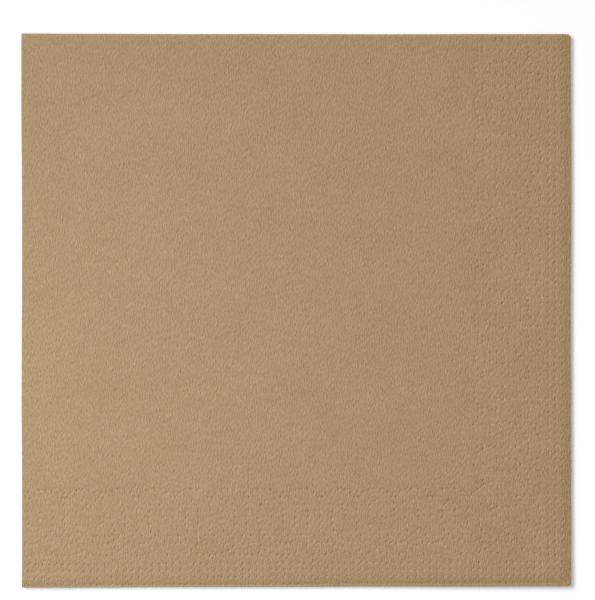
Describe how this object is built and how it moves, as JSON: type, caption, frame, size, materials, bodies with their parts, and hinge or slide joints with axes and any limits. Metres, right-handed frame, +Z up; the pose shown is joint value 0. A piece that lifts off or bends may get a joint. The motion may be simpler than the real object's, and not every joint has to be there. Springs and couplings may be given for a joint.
{
  "type": "paper napkin",
  "caption": "Square embossed tissue napkin, folded in half and in half again to lie flat, for wiping mouth and hands at table.",
  "frame": {"origin": "middle of the folded napkin's outline, on the surface that it lies on", "axes": "+Z up through the thickness, +X towards the open side opposite the first fold, +Y towards the second fold"},
  "size_m": [0.1642, 0.1654, 0.0016],
  "materials": {
    "tissue": "matt unbleached brown tissue with a soft fibrous surface and embossed borders"
  },
  "bodies": {
    "root": {"napkin": "tissue"}
  },
  "joints": []
}
